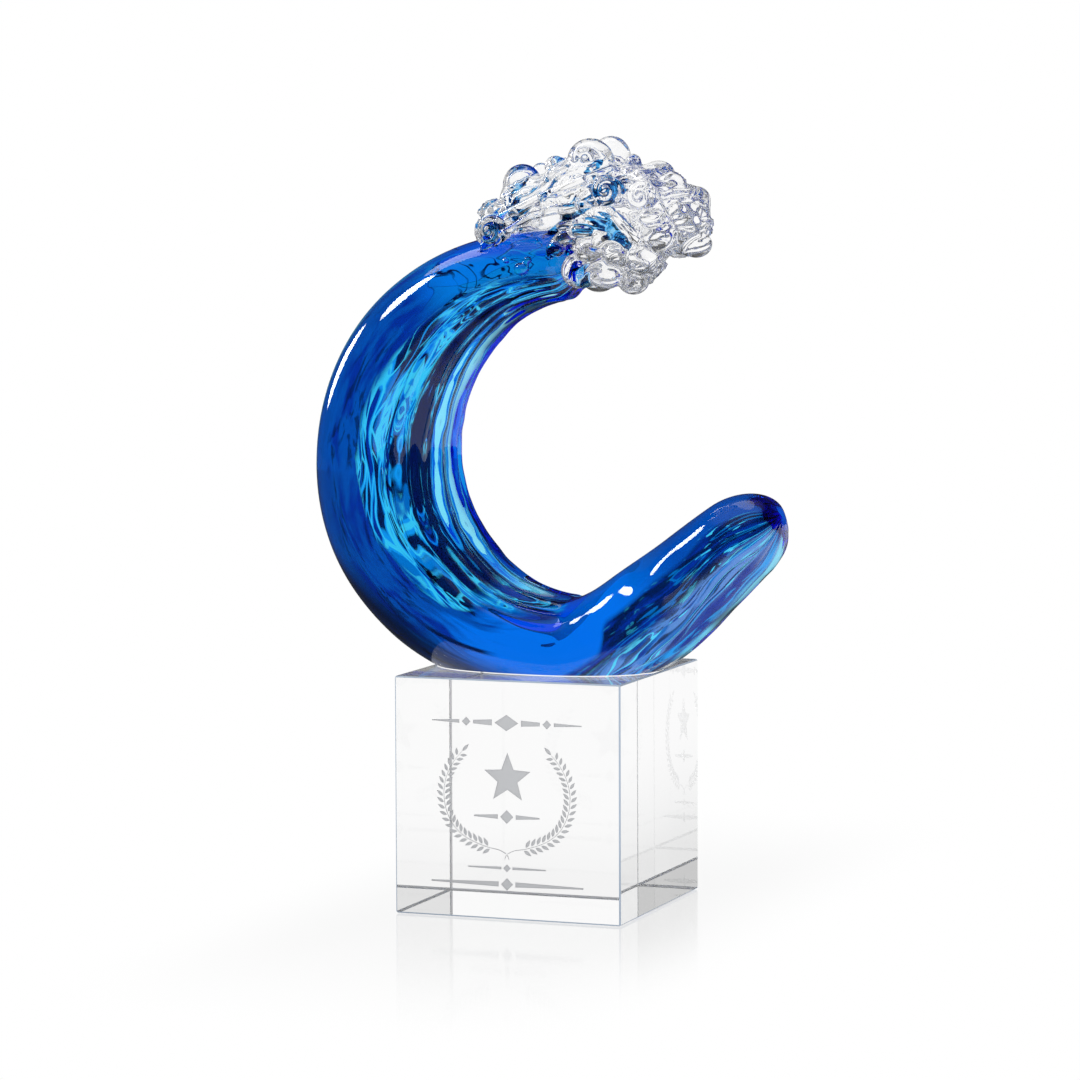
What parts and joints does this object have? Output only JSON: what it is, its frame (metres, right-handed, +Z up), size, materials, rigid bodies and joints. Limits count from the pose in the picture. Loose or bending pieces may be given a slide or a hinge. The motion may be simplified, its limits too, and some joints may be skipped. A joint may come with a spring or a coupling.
{
  "type": "glass award",
  "caption": "Free-standing award: a breaking wave of blue cased glass with a clear froth crest, bonded on a clear crystal cube.",
  "frame": {"origin": "centre of the cube's underside, the face that the award rests on", "axes": "+Z up, -Y out of the engraved front face, +X towards the wave's tongue and crest"},
  "size_m": [0.1655, 0.08, 0.2587],
  "materials": {
    "crystal": "polished optical crystal, with a frosted engraving on the front face",
    "clear_glass": "fire-polished clear glass",
    "blue_glass": "transparent cobalt and turquoise art glass",
    "bond_adhesive": "clear cured adhesive film"
  },
  "bodies": {
    "root": {"crystal_cube": "crystal", "bond_film": "bond_adhesive", "blue_core": "blue_glass", "clear_casing": "clear_glass", "crest_gather": "clear_glass", "froth_bit_01": "clear_glass", "froth_bit_02": "clear_glass", "froth_bit_03": "clear_glass", "froth_bit_04": "clear_glass", "froth_bit_05": "clear_glass", "froth_bit_06": "clear_glass", "froth_bit_07": "clear_glass", "froth_bit_08": "clear_glass", "froth_bit_09": "clear_glass", "froth_bit_10": "clear_glass", "froth_bit_11": "clear_glass", "froth_bit_12": "clear_glass", "froth_bit_13": "clear_glass", "froth_bit_14": "clear_glass", "froth_bit_15": "clear_glass", "froth_bit_16": "clear_glass", "froth_bit_17": "clear_glass", "froth_bit_18": "clear_glass", "froth_bit_19": "clear_glass"}
  },
  "joints": []
}
